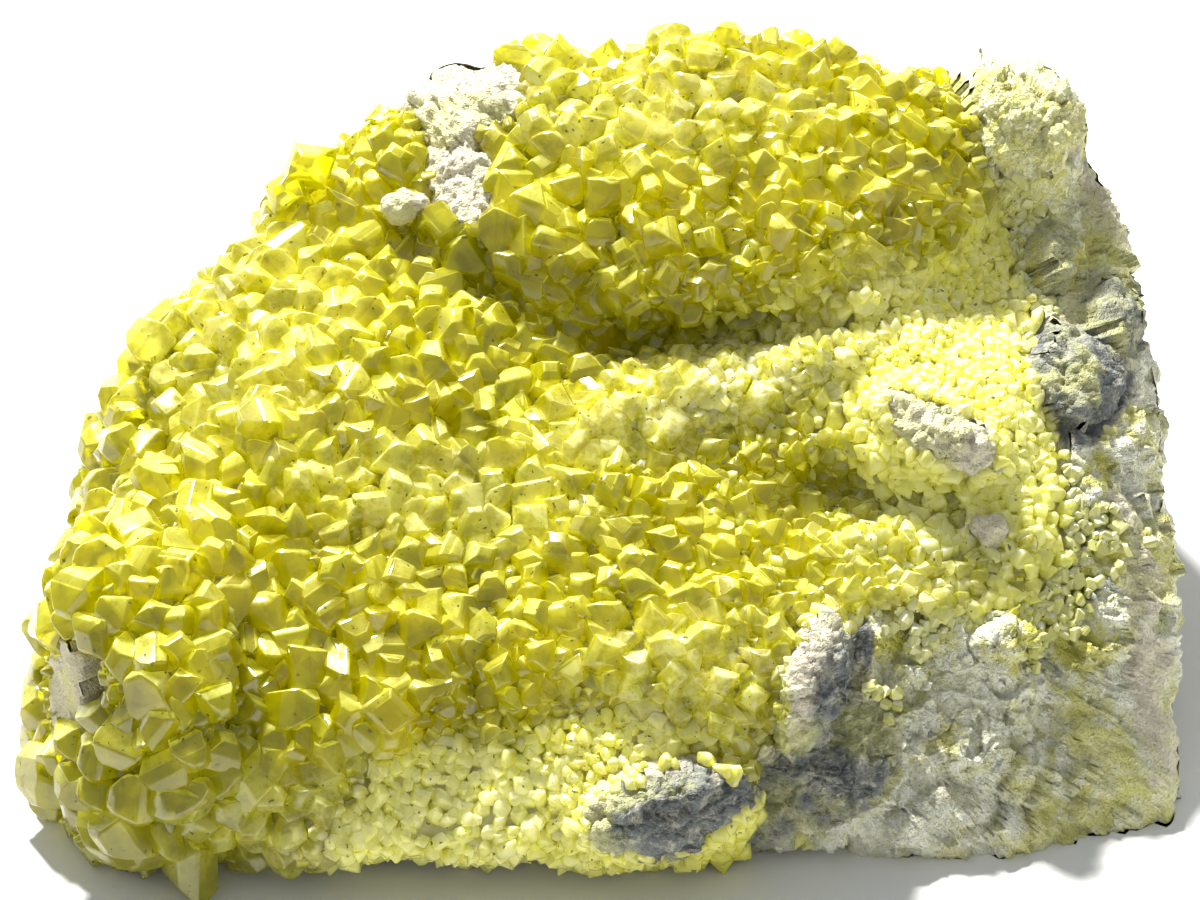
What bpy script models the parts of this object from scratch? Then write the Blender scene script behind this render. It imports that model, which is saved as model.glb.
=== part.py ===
"""A hand specimen of native sulfur: a crust of intergrown crystals on a block of pale, broken host rock.

Metres, +Z up. The block rests on its flat broken base at z = 0, and the origin lies on that base.
The display face is the side with the crystals. It leans back, and its own frame is used to place
everything on it: across (to the right), up (up the face) and out (away from the face).
"""

import itertools
import math

import bmesh
import bpy
import numpy as np

# ---- Driving dimensions ----
FACE_LEAN = math.radians(38)  # how far the face's outward direction points above the horizon
FACE_CENTRE = np.array([0.0, -0.004, 0.028])
BED_SLOPE = -0.47  # how the crystal bed recedes on its way up the face
LEFT_BEND = (-0.030, 14.0)  # across and per metre: where and how the bed falls off to its left edge
COARSE_DEPTH, FINE_DEPTH = 0.0036, 0.0020  # of the crust under its crystals, where they are large and small
CRUST_WRAP = 0.011  # how far the crust reaches round the edges of the face
CRUST_FADE = 0.0035  # distance over which the crust thins out at its outline
GAP = 0.0004  # clearance between the crust and what it touches
SEED = 7

# The block is described by how far its surface lies from a thin plate inside it, which follows the bed.
PLATE_CENTRE = np.array([0.004, -0.001, -0.0115])  # in the face's frame
PLATE_HALF = np.array([0.032, 0.026, 0.0005])
PLATE_SPREAD = np.array([0.025, 0.019, 0.045])  # how the box round the plate grows
BOTTOM = -0.010  # how deep the block goes before its base is cut flat
FARTHEST = 1.6  # of these growths, beyond the block's surface everywhere
STRIDE = 0.04  # in growths, in which the surface is looked for
BLOCK_CELLS = (26, 20, 8)  # of the box, across, up and out
EDGE_ROUNDING = 0.0022  # how gently one side of the block turns into the next

FACE_AXES = np.array([
    [1, 0, 0],
    [0, math.sin(FACE_LEAN), math.cos(FACE_LEAN)],
    [0, -math.cos(FACE_LEAN), math.sin(FACE_LEAN)],
])

# Mounds and hollows of the face: centre (across, up), half sizes, height, turn in degrees, edge.
# An edge of 0.5 gives a steep rim, and 2 a soft one.
MOUNDS = {
    "dome": ((0.012, 0.030), (0.030, 0.020), 0.0085, 4, 0.7),
    "dome_shoulder": ((0.027, 0.024), (0.013, 0.017), 0.0025, 0, 1.0),
    "terrace": ((-0.017, -0.012), (0.040, 0.024), 0.0045, -12, 1.5),
    "left_slope": ((-0.034, 0.014), (0.020, 0.014), 0.0030, -50, 1.2),
    "dark_valley": ((-0.012, 0.017), (0.016, 0.0045), -0.0035, -20, 1.5),
    "under_dome": ((0.008, 0.0115), (0.020, 0.0035), -0.0040, 6, 1.2),
    "white_ridge": ((0.012, 0.0065), (0.018, 0.004), 0.0025, 18, 1.0),
    "pale_mound": ((0.031, 0.006), (0.014, 0.011), 0.0050, -25, 0.9),
    "mid_hollow": ((0.024, -0.005), (0.013, 0.005), -0.0025, 0, 1.5),
    "lower_bulge": ((0.014, -0.021), (0.014, 0.008), 0.0020, 0, 1.2),
    "front_hollow": ((-0.038, -0.039), (0.009, 0.005), -0.0050, 10, 1.0),
}

# Bare host rock standing through the crust and on the flank, given the same way.
OUTCROPS = {
    "top_patch": ((-0.0145, 0.0365), (0.0085, 0.0055), 0.0020, 0, 0.8),
    "top_tongue": ((-0.0145, 0.0285), (0.0045, 0.0075), 0.0010, 10, 1.0),
    "front_knob": ((0.0065, -0.0345), (0.0095, 0.0050), 0.0060, 12, 0.6),
    "leaning_ridge": ((0.0205, -0.0230), (0.0035, 0.0080), 0.0050, -12, 0.7),
    "dark_spur": ((0.0235, -0.0315), (0.0060, 0.0045), 0.0020, 30, 1.0),
    "cream_ledge": ((0.0335, 0.0020), (0.0080, 0.0035), 0.0035, -32, 0.6),
    "flank_nose": ((0.0400, -0.0190), (0.0035, 0.0022), 0.0030, 0, 0.6),
    "left_patch": ((-0.0510, -0.0225), (0.0040, 0.0060), 0.0015, 0, 1.0),
    "grey_tooth": ((0.0465, 0.0195), (0.0028, 0.0035), 0.0040, 0, 0.8),
    "grey_block": ((0.0475, 0.0075), (0.0050, 0.0055), 0.0035, 15, 0.6),
    "side_knob": ((0.0530, 0.0135), (0.0035, 0.0035), 0.0040, 0, 0.6),
}

# The flank right of and below the crystal bed: a point on it (across, up, out) and its slopes.
FLANK_POINT = (0.016, -0.023, 0.0125)
FLANK_SLOPES = (-0.255, -0.043)
RIGHT_EDGE = 0.043  # across; beyond it the face turns away
RIGHT_FALL = -0.55

# The other sides, each a direction and how far along it the side lies from the origin.
SIDES = {
    "left": ((-0.995, 0.05, -0.08), 0.0500),
    "left_back": ((-0.760, 0.520, 0.390), 0.0520),
    "right": ((0.990, 0.10, -0.08), 0.0555),
    "right_back": ((0.560, 0.820, 0.10), 0.0590),
    "back": ((0.05, 0.970, 0.220), 0.0460),
    "top": ((0.0, 0.616, 0.788), 0.0655),
    "front_undercut": ((0.0, -0.571, -0.821), 0.0190),
    "left_undercut": ((-0.72, -0.10, -0.68), 0.0350),
}

# Lumps that widen the block: centre and half sizes, in the face's frame (across, up, out).
LUMPS = {
    "left_foot": ((-0.0430, -0.0240, 0.0020), (0.0115, 0.0200, 0.0170)),
    "pale_step": ((0.0420, 0.0310, -0.0170), (0.0100, 0.0090, 0.0090)),
}

# The crust's outline on the face (across, up). It passes round the left, top and lower edges.
CRUST_OUTLINE = np.array([
    (-0.080, 0.070), (0.032, 0.070), (0.032, 0.041), (0.036, 0.036), (0.0395, 0.028), (0.042, 0.020),
    (0.045, 0.013), (0.0465, 0.001), (0.0465, -0.011), (0.040, -0.016), (0.027, -0.015), (0.019, -0.024),
    (0.015, -0.029), (0.014, -0.044), (-0.080, -0.044),
])

# How wide the crystals are around these places of the face: (across, up), width.
GRAIN = {
    "left_edge": ((-0.045, 0.000), 0.0040),
    "upper_left": ((-0.030, 0.026), 0.0038),
    "valley": ((-0.016, 0.018), 0.0042),
    "middle": ((-0.012, -0.002), 0.0038),
    "lower_left": ((-0.042, -0.016), 0.0046),
    "front_left": ((-0.044, -0.032), 0.0050),
    "front_middle": ((-0.025, -0.022), 0.0042),
    "lower_middle": ((0.004, -0.017), 0.0036),
    "dome_left": ((-0.002, 0.030), 0.0038),
    "dome_right": ((0.026, 0.028), 0.0034),
    "under_dome": ((0.018, 0.012), 0.0024),
    "ridge": ((0.014, 0.004), 0.0026),
    "pale_mound": ((0.031, 0.008), 0.0015),
    "right_edge": ((0.042, 0.012), 0.0016),
    "below_ledge": ((0.034, -0.008), 0.0022),
    "right_bed": ((0.022, -0.009), 0.0026),
    "lower_bulge": ((0.014, -0.022), 0.0028),
    "front_fine": ((-0.018, -0.034), 0.0018),
    "front_finest": ((0.002, -0.031), 0.0014),
}
FINE_GRAIN, COARSE_GRAIN = 0.0018, 0.0034  # widths at which the crust is thin and thick

# Crystals that stand out from the rest: (across, up), width.
LARGE_CRYSTALS = {
    "edge_twin": ((-0.0295, 0.0285), 0.0048),
    "edge_twin_partner": ((-0.0322, 0.0262), 0.0042),
    "below_top_patch": ((-0.0205, 0.0285), 0.0042),
    "valley_head": ((-0.0130, 0.0205), 0.0046),
    "bright_prism": ((-0.0182, 0.0167), 0.0038),
    "left_block": ((-0.0303, 0.0067), 0.0054),
    "lower_left_cluster": ((-0.0410, -0.0140), 0.0062),
    "lower_left_cluster_foot": ((-0.0345, -0.0205), 0.0052),
    "front_corner": ((-0.0455, -0.0360), 0.0060),
    "valley_middle": ((-0.0200, 0.0130), 0.0046),
    "valley_right": ((-0.0085, 0.0192), 0.0046),
    "dome_front": ((0.0065, 0.0210), 0.0044),
    "dome_corner": ((0.0215, 0.0180), 0.0038),
    "lower_middle_block": ((0.0100, -0.0190), 0.0046),
    "left_rim": ((-0.0450, 0.0105), 0.0050),
    "front_bright": ((-0.0280, -0.0190), 0.0046),
}

# Faces of a sulfur crystal: directions of the steep and the flat ones, which repeat in each quarter.
STEEP_FACES = (1.23, 1.0, 0.525)
FLAT_FACES = (1.23, 1.0, 1.576)
FACE_DISTANCES = {"steep": (0.40, 0.50), "flat": (0.44, 0.56), "tip": (0.48, 0.62)}  # in crystal widths
BURIED_DEPTH = 0.45  # how far a crystal goes down below its centre, in crystal widths
BLUNTING = 0.20  # corners closer than this merge into one, in crystal widths
LIFT = (0.00, 0.28)  # how far a crystal's centre stands over the crust, in crystal widths
TILT = math.radians(40)  # the most that a crystal leans
SPACING = 0.98  # between the centres of neighbouring crystals, in crystal widths
SMALLEST_CRYSTAL = 0.0030
SITES_TRIED = 8000
CRUST_TRIANGLES = 7200

# Loose-looking bits of host rock caught in the crust: (across, up), half sizes, lift over the crust.
CHIPS = {
    "matrix_chip_left": ((-0.0195, 0.0243), (0.0021, 0.0016, 0.0016), 0.0016),
    "matrix_chip_right": ((0.0387, -0.0083), (0.0018, 0.0016, 0.0014), 0.0008),
}


# ---- The shape of the specimen ----
def to_face(points):
    """Positions in the face's frame: columns across, up and out."""
    return (points - FACE_CENTRE) @ FACE_AXES.T


def to_world(places):
    return FACE_CENTRE + places @ FACE_AXES


def mound(across, up, centre, half_sizes, height, turn, edge):
    cos, sin = math.cos(math.radians(turn)), math.sin(math.radians(turn))
    right, rise = across - centre[0], up - centre[1]
    along = (cos * right + sin * rise) / half_sizes[0]
    over = (cos * rise - sin * right) / half_sizes[1]
    return height * np.clip(1 - along**2 - over**2, 0, 1) ** edge


def soft_max(values, width):
    values = np.stack(values)
    top = values.max(axis=0)
    return top + width * np.log(np.exp((values - top) / width).sum(axis=0))


def waves(points, size, seed):
    """Smooth irregularity between about -1 and 1, with features about this size."""
    draw = np.random.RandomState(seed)
    directions = draw.normal(size=(12, 3))
    directions *= draw.uniform(0.6, 1.5, (12, 1)) / np.linalg.norm(directions, axis=1, keepdims=True)
    phases = draw.uniform(0, 2 * math.pi, 12)
    return np.sin(points @ directions.T * (math.pi / size) + phases).sum(axis=1) / 4


def relief(across, up):
    """How far the face stands out at a place on it."""
    out = BED_SLOPE * up - LEFT_BEND[1] * np.clip(LEFT_BEND[0] - across, 0, None) ** 2
    for shape in MOUNDS.values():
        out = out + mound(across, up, *shape)
    flank = FLANK_POINT[2] + FLANK_SLOPES[0] * (across - FLANK_POINT[0])
    flank = flank + FLANK_SLOPES[1] * (up - FLANK_POINT[1])
    right = BED_SLOPE * up + 0.002 + RIGHT_FALL * (across - RIGHT_EDGE)
    out = -soft_max([-out, -flank, -right], EDGE_ROUNDING / 2)
    for shape in OUTCROPS.values():
        out = out + mound(across, up, *shape)
    return out


def outside(points):
    """Above zero outside the specimen, leaving its crystals out, and below zero inside it."""
    across, up, out = to_face(points).T
    surfaces = [(out - relief(across, up)) * 0.9]
    for direction, distance in SIDES.values():
        direction = np.array(direction) / np.linalg.norm(direction)
        surfaces.append(points @ direction - distance)
    block = soft_max(surfaces, EDGE_ROUNDING)
    for centre, half_sizes in LUMPS.values():
        offset = (np.stack([across, up, out], axis=1) - centre) / half_sizes
        lump = (np.linalg.norm(offset, axis=1) - 1) * min(half_sizes)
        block = -soft_max([-block, -lump], EDGE_ROUNDING / 2)
    return block + 0.0010 * waves(points, 0.016, SEED) + 0.0005 * waves(points, 0.007, SEED + 1)


def outward(points, step=0.0004):
    """The surface's outward direction at each point."""
    slopes = [outside(points + step * axis) - outside(points - step * axis) for axis in np.eye(3)]
    slopes = np.stack(slopes, axis=1)
    return slopes / np.linalg.norm(slopes, axis=1, keepdims=True)


# ---- The crust's thickness ----
def inside_outline(across, up):
    """Distance to the crust's outline, above zero inside it."""
    nearest, crossings = np.full(len(across), 1.0), np.zeros(len(across), int)
    for (x0, y0), (x1, y1) in zip(CRUST_OUTLINE, np.roll(CRUST_OUTLINE, -1, axis=0)):
        length = (x1 - x0) ** 2 + (y1 - y0) ** 2
        share = np.clip(((across - x0) * (x1 - x0) + (up - y0) * (y1 - y0)) / length, 0, 1)
        nearest = np.minimum(nearest, np.hypot(across - x0 - share * (x1 - x0), up - y0 - share * (y1 - y0)))
        if y0 != y1:
            crossings += ((up > y0) != (up > y1)) & (across < x0 + (up - y0) * (x1 - x0) / (y1 - y0))
    return np.where(crossings % 2 == 1, nearest, -nearest)


def grain(across, up):
    """How wide the crystals are at a place of the face."""
    total, weights = 0.0, 0.0
    for (right, rise), width in GRAIN.values():
        weight = 1 / ((across - right) ** 2 + (up - rise) ** 2 + 1e-6) ** 1.5
        total, weights = total + weight * width, weights + weight
    return total / weights


def cover(points):
    """How far inside the crust's outline a point of the surface lies, below zero on bare rock."""
    across, up, out = to_face(points).T
    edge = inside_outline(across, up)
    for centre, half_sizes, _, turn, _ in OUTCROPS.values():
        bare = mound(across, up, centre, half_sizes, 1.0, turn, 0.5)
        edge = np.minimum(edge, (0.5 - bare) * min(half_sizes))
    return np.minimum(edge, (CRUST_WRAP - (relief(across, up) - out)) / 2)


def crust_depth(points):
    """How thick the crust is on the rock; zero where there is none."""
    across, up, _ = to_face(points).T
    coarse = np.clip((grain(across, up) - FINE_GRAIN) / (COARSE_GRAIN - FINE_GRAIN), 0, 1)
    depth = FINE_DEPTH + (COARSE_DEPTH - FINE_DEPTH) * coarse
    return depth * np.clip(cover(points) / CRUST_FADE, 0, 1) ** 0.5


def rock_outside(points):
    return outside(points) + crust_depth(points)


# ---- Solids ----
def round_plate(box, growth):
    """Where the points of a box from -1 to 1 lie once it is wrapped round the plate and grown."""
    places = box * (PLATE_HALF + growth[:, None] * PLATE_SPREAD) + PLATE_CENTRE
    places[:, 2] += BED_SLOPE * (places[:, 1] - PLATE_CENTRE[1])
    return to_world(places)


def wrap(box, shape, grow=0.0):
    """Points of a box from -1 to 1, moved onto a shape's surface, down to a bottom under its base."""
    def inside(growth):
        places = round_plate(box, growth)
        return (shape(places) < grow) & (places[:, 2] > BOTTOM)

    near, leaving = np.zeros(len(box)), np.ones(len(box), bool)
    for growth in np.arange(1, 1 + FARTHEST / STRIDE) * STRIDE:
        leaving &= inside(np.full(len(box), growth))
        near[leaving] = growth
    far = near + STRIDE
    for _ in range(18):
        middle = (near + far) / 2
        within = inside(middle)
        near, far = np.where(within, middle, near), np.where(within, far, middle)
    return round_plate(box, near)


def new_object(name, bm, material=None):
    mesh = bpy.data.meshes.new(name)
    bm.to_mesh(mesh)
    bm.free()
    obj = bpy.data.objects.new(name, mesh)
    bpy.context.scene.collection.objects.link(obj)
    if material:
        mesh.materials.append(material)
    return obj


def make_block(name, shape, grow=0.0, floor=0.0):
    """A closed block with this surface, cut off flat at the floor."""
    block = bmesh.new()
    bmesh.ops.create_cube(block, size=2)
    for axis, count in enumerate(BLOCK_CELLS):
        along = [e for e in block.edges if abs(e.verts[0].co[axis] - e.verts[1].co[axis]) > 1e-4]
        bmesh.ops.subdivide_edges(block, edges=along, cuts=count - 1)
    bmesh.ops.triangulate(block, faces=block.faces[:])
    for vertex, place in zip(block.verts, wrap(np.array([v.co for v in block.verts]), shape, grow)):
        vertex.co = place
    everything = block.verts[:] + block.edges[:] + block.faces[:]
    cut = bmesh.ops.bisect_plane(
        block, geom=everything, dist=1e-4, plane_co=(0, 0, floor), plane_no=(0, 0, -1), clear_outer=True)
    rim = [item for item in cut["geom_cut"] if isinstance(item, bmesh.types.BMEdge)]
    for edge in rim:
        for vertex in edge.verts:
            vertex.co.z = floor
    bmesh.ops.edgeloop_fill(block, edges=rim)
    bmesh.ops.recalc_face_normals(block, faces=block.faces[:])
    return new_object(name, block)


def crystal_corners(draw, width):
    """Corners of one crystal, its long axis along +Z."""
    planes = []
    for kind, direction in (("steep", STEEP_FACES), ("flat", FLAT_FACES)):
        direction = np.array(direction) / np.linalg.norm(direction)
        for x, y in itertools.product((1, -1), repeat=2):
            planes.append((direction * (x, y, 1), draw.uniform(*FACE_DISTANCES[kind])))
            if kind == "steep":
                planes.append((direction * (x, y, -1), draw.uniform(*FACE_DISTANCES[kind])))
    planes.append((np.array([0, 0, 1.0]), draw.uniform(*FACE_DISTANCES["tip"])))
    planes.append((np.array([0, 0, -1.0]), BURIED_DEPTH))
    directions, distances = np.array([p[0] for p in planes]), np.array([p[1] for p in planes])
    triples = np.array(list(itertools.combinations(range(len(planes)), 3)))
    crossing = np.abs(np.linalg.det(directions[triples])) > 0.02
    corners = np.linalg.solve(directions[triples[crossing]], distances[triples[crossing]][..., None])[..., 0]
    return corners[(corners @ directions.T < distances + 1e-6).all(axis=1)] * width


def add_crystal(bm, corners, turn, centre):
    """One closed crystal in a bmesh, turned by a matrix with its axes as columns."""
    one = bmesh.new()
    for corner in corners @ turn.T + centre:
        one.verts.new(corner)
    bmesh.ops.remove_doubles(one, verts=one.verts[:], dist=BLUNTING * np.ptp(corners[:, 0]))
    hull = bmesh.ops.convex_hull(one, input=one.verts[:])
    loose = {v for v in hull["geom_interior"] + hull["geom_unused"] if isinstance(v, bmesh.types.BMVert)}
    bmesh.ops.delete(one, geom=list(loose), context="VERTS")
    mesh = bpy.data.meshes.new("crystal")
    one.to_mesh(mesh)
    one.free()
    bm.from_mesh(mesh)
    bpy.data.meshes.remove(mesh)


def axes_towards(direction, spin):
    """A matrix whose columns are two sideways axes, turned by spin, and this direction."""
    aside = np.cross(direction, (0.31, 0.85, 0.42))
    aside /= np.linalg.norm(aside)
    other = np.cross(direction, aside)
    first = math.cos(spin) * aside + math.sin(spin) * other
    return np.stack([first, np.cross(direction, first), direction], axis=1)


def crystal_sites(draw):
    """Where the crystals stand on the crust, and their widths: the large ones first, then to fill it."""
    named = np.array([(right, rise, 0.0) for (right, rise), _ in LARGE_CRYSTALS.values()])
    named[:, 2] = relief(named[:, 0], named[:, 1])
    sites = list(to_world(named))
    widths = [width for _, width in LARGE_CRYSTALS.values()]

    box = draw.uniform(-1, 1, (SITES_TRIED, 3))
    side = draw.choice(5, SITES_TRIED, p=(0.72, 0.10, 0.02, 0.08, 0.08))
    for number, (axis, end) in enumerate(((2, 1), (0, -1), (0, 1), (1, 1), (1, -1))):
        box[side == number, axis] = end
    places = wrap(box, outside)
    across, up, _ = to_face(places).T
    sizes = grain(across, up) * draw.uniform(0.82, 1.18, SITES_TRIED)
    wanted = (cover(places) > 0.25 * sizes) & (sizes > SMALLEST_CRYSTAL) & (places[:, 2] > 0.6 * sizes)
    for place, size in zip(places[wanted], sizes[wanted]):
        spacing = SPACING * (np.array(widths) + size) / 2
        if (np.linalg.norm(np.array(sites) - place, axis=1) > spacing).all():
            sites.append(place)
            widths.append(size)
    return np.array(sites), np.array(widths)


def make_crystals():
    draw = np.random.RandomState(SEED)
    sites, widths = crystal_sites(draw)
    crystals = bmesh.new()
    for site, direction, width in zip(sites, outward(sites), widths):
        lean = direction + math.tan(TILT) * draw.uniform(0.2, 1) * axes_towards(direction, draw.uniform(0, 7))[:, 0]
        turn = axes_towards(lean / np.linalg.norm(lean), draw.uniform(0, 7))
        centre = site + direction * width * draw.uniform(*LIFT)
        add_crystal(crystals, crystal_corners(draw, width), turn, centre)
    return new_object("crystals", crystals)


def make_chip(name, place, half_sizes, lift, material):
    """A rough bit of rock, half sunk in the crust."""
    right, rise = place
    ground = to_world(np.array([[right, rise, float(relief(np.array([right]), np.array([rise]))[0])]]))
    direction = outward(ground)[0]
    turn = axes_towards(direction, 0.4)
    chip = bmesh.new()
    bmesh.ops.create_icosphere(chip, subdivisions=2, radius=1)
    points = np.array([v.co for v in chip.verts])
    points *= 1 + 0.22 * waves(points, 1.1, SEED + len(name))[:, None]
    points = (points * half_sizes) @ turn.T + ground[0] + direction * lift
    for vertex, point in zip(chip.verts, points):
        vertex.co = point
    return new_object(name, chip, material)


def make_pockets(chips):
    """What the crust leaves free: the rock and the chips, all grown by the gap."""
    rock = make_block("rock_pocket", rock_outside, grow=GAP, floor=-0.002)
    pockets = bmesh.new()
    for chip in chips:
        pockets.from_mesh(chip.data)
    pockets.normal_update()
    moved = [v.co + v.normal * GAP for v in pockets.verts]
    for vertex, place in zip(pockets.verts, moved):
        vertex.co = place
    pockets.from_mesh(rock.data)
    bpy.data.objects.remove(rock)
    return new_object("pockets", pockets)


def join(target, tool, operation):
    """Unite the target with a tool, or cut it out, and remove the tool."""
    boolean = target.modifiers.new(operation.lower(), "BOOLEAN")
    boolean.operation, boolean.object, boolean.solver = operation, tool, "EXACT"
    boolean.use_self = operation == "UNION"
    view = bpy.context.evaluated_depsgraph_get()
    mesh = bpy.data.meshes.new_from_object(target.evaluated_get(view))
    target.modifiers.clear()
    target.data = mesh
    bpy.data.objects.remove(tool)


def keep_largest_piece(obj):
    """Remove crumbs that a cut has left apart from the main body."""
    bm = bmesh.new()
    bm.from_mesh(obj.data)
    unseen, pieces = set(bm.verts), []
    while unseen:
        piece, edge = set(), [unseen.pop()]
        while edge:
            vertex = edge.pop()
            piece.add(vertex)
            for link in vertex.link_edges:
                other = link.other_vert(vertex)
                if other in unseen:
                    unseen.discard(other)
                    edge.append(other)
        pieces.append(piece)
    pieces.sort(key=len, reverse=True)
    bmesh.ops.delete(bm, geom=[v for p in pieces[1:] for v in p], context="VERTS")
    bmesh.ops.triangulate(bm, faces=bm.faces[:])
    bm.to_mesh(obj.data)
    bm.free()


def thin_out(obj, triangles):
    """Collapse the short edges that the cuts have left, down to this many triangles."""
    decimate = obj.modifiers.new("thin", "DECIMATE")
    decimate.ratio = triangles / len(obj.data.polygons)
    view = bpy.context.evaluated_depsgraph_get()
    mesh = bpy.data.meshes.new_from_object(obj.evaluated_get(view))
    obj.modifiers.clear()
    obj.data = mesh


def make_material(name, colour, roughness):
    material = bpy.data.materials.new(name)
    material.use_nodes = True
    shader = material.node_tree.nodes["Principled BSDF"]
    shader.inputs["Base Color"].default_value = (*colour, 1)
    shader.inputs["Roughness"].default_value = roughness
    material.diffuse_color = (*colour, 1)
    return material


def main():
    for old in list(bpy.data.objects):
        bpy.data.objects.remove(old)
    stone = make_material("host_rock", (0.58, 0.53, 0.40), 0.9)
    sulfur = make_material("sulfur", (0.75, 0.68, 0.04), 0.3)

    rock = make_block("matrix_rock", rock_outside)
    rock.data.materials.append(stone)
    crust = make_block("sulfur_crust", outside)
    crust.data.materials.append(sulfur)
    chips = [make_chip(name, *shape, stone) for name, shape in CHIPS.items()]

    join(crust, make_crystals(), "UNION")
    join(crust, make_pockets(chips), "DIFFERENCE")
    keep_largest_piece(crust)
    thin_out(crust, CRUST_TRIANGLES)


main()
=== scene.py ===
"""Looks of the native sulfur specimen: intergrown crystals on rough host rock, on a pale floor.

The block's surface is described by the same functions as its solids, at a finer step.
Lengths are in metres. A place on the face is given as (across, up) from its centre.
"""

import itertools
import math

import bmesh
import bpy
import numpy as np
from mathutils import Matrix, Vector
from numpy.linalg import norm
from numpy.random import RandomState


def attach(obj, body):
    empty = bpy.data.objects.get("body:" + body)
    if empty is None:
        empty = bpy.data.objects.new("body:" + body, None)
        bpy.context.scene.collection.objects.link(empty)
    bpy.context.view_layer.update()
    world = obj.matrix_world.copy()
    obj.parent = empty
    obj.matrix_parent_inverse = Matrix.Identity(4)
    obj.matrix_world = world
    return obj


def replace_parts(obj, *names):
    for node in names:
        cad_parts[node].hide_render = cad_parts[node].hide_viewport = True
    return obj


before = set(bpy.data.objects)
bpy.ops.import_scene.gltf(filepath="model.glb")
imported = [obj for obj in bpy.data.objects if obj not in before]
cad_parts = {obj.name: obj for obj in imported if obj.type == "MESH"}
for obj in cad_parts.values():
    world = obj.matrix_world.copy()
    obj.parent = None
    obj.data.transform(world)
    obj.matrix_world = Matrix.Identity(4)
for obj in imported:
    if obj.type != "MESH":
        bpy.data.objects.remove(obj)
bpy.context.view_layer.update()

# ---- The specimen's shape ----
FACE_LEAN = math.radians(38)
FACE_CENTRE = np.array([0.0, -0.004, 0.028])
BED_SLOPE = -0.47
LEFT_BEND = (-0.030, 14.0)
COARSE_DEPTH, FINE_DEPTH = 0.0036, 0.0020
CRUST_WRAP = 0.011
CRUST_FADE = 0.0035
SEED = 7
PLATE_CENTRE = np.array([0.004, -0.001, -0.0115])
PLATE_HALF = np.array([0.032, 0.026, 0.0005])
PLATE_SPREAD = np.array([0.025, 0.019, 0.045])
BOTTOM = -0.010
FARTHEST = 1.6
STRIDE = 0.04
EDGE_ROUNDING = 0.0022

FACE_AXES = np.array([
    [1, 0, 0],
    [0, math.sin(FACE_LEAN), math.cos(FACE_LEAN)],
    [0, -math.cos(FACE_LEAN), math.sin(FACE_LEAN)],
])

# Centre (across, up), half sizes, height, turn in degrees, edge.
MOUNDS = {
    "dome": ((0.012, 0.03), (0.03, 0.02), 0.0085, 4, 0.7),
    "dome_shoulder": ((0.027, 0.024), (0.013, 0.017), 0.0025, 0, 1.0),
    "terrace": ((-0.017, -0.012), (0.04, 0.024), 0.0045, -12, 1.5),
    "left_slope": ((-0.034, 0.014), (0.02, 0.014), 0.003, -50, 1.2),
    "dark_valley": ((-0.012, 0.017), (0.016, 0.0045), -0.0035, -20, 1.5),
    "under_dome": ((0.008, 0.0115), (0.02, 0.0035), -0.004, 6, 1.2),
    "white_ridge": ((0.012, 0.0065), (0.018, 0.004), 0.0025, 18, 1.0),
    "pale_mound": ((0.031, 0.006), (0.014, 0.011), 0.005, -25, 0.9),
    "mid_hollow": ((0.024, -0.005), (0.013, 0.005), -0.0025, 0, 1.5),
    "lower_bulge": ((0.014, -0.021), (0.014, 0.008), 0.002, 0, 1.2),
    "front_hollow": ((-0.038, -0.039), (0.009, 0.005), -0.005, 10, 1.0),
}
OUTCROPS = {
    "top_patch": ((-0.0145, 0.0365), (0.0085, 0.0055), 0.002, 0, 0.8),
    "top_tongue": ((-0.0145, 0.0285), (0.0045, 0.0075), 0.001, 10, 1.0),
    "front_knob": ((0.0065, -0.0345), (0.0095, 0.005), 0.006, 12, 0.6),
    "leaning_ridge": ((0.0205, -0.023), (0.0035, 0.008), 0.005, -12, 0.7),
    "dark_spur": ((0.0235, -0.0315), (0.006, 0.0045), 0.002, 30, 1.0),
    "cream_ledge": ((0.0335, 0.002), (0.008, 0.0035), 0.0035, -32, 0.6),
    "flank_nose": ((0.04, -0.019), (0.0035, 0.0022), 0.003, 0, 0.6),
    "left_patch": ((-0.051, -0.0225), (0.004, 0.006), 0.0015, 0, 1.0),
    "grey_tooth": ((0.0465, 0.0195), (0.0028, 0.0035), 0.004, 0, 0.8),
    "grey_block": ((0.0475, 0.0075), (0.005, 0.0055), 0.0035, 15, 0.6),
    "side_knob": ((0.053, 0.0135), (0.0035, 0.0035), 0.004, 0, 0.6),
}
FLANK_POINT = (0.016, -0.023, 0.0125)
FLANK_SLOPES = (-0.255, -0.043)
RIGHT_EDGE = 0.043
RIGHT_FALL = -0.55
# Which way each side of the block faces, and how far it is from the origin.
SIDES = {
    "left": ((-0.995, 0.05, -0.08), 0.05),
    "left_back": ((-0.76, 0.52, 0.39), 0.052),
    "right": ((0.99, 0.1, -0.08), 0.0555),
    "right_back": ((0.56, 0.82, 0.1), 0.059),
    "back": ((0.05, 0.97, 0.22), 0.046),
    "top": ((0.0, 0.616, 0.788), 0.0655),
    "front_undercut": ((0.0, -0.571, -0.821), 0.019),
    "left_undercut": ((-0.72, -0.1, -0.68), 0.035),
}
# Centre and half sizes, along the face's axes.
LUMPS = {
    "left_foot": ((-0.043, -0.024, 0.002), (0.0115, 0.02, 0.017)),
    "pale_step": ((0.042, 0.031, -0.017), (0.01, 0.009, 0.009)),
}
CRUST_OUTLINE = np.array([
    (-0.08, 0.07), (0.032, 0.07), (0.032, 0.041), (0.036, 0.036), (0.0395, 0.028), (0.042, 0.02),
    (0.045, 0.013), (0.0465, 0.001), (0.0465, -0.011), (0.04, -0.016), (0.027, -0.015), (0.019, -0.024),
    (0.015, -0.029), (0.014, -0.044), (-0.08, -0.044),
])
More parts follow.
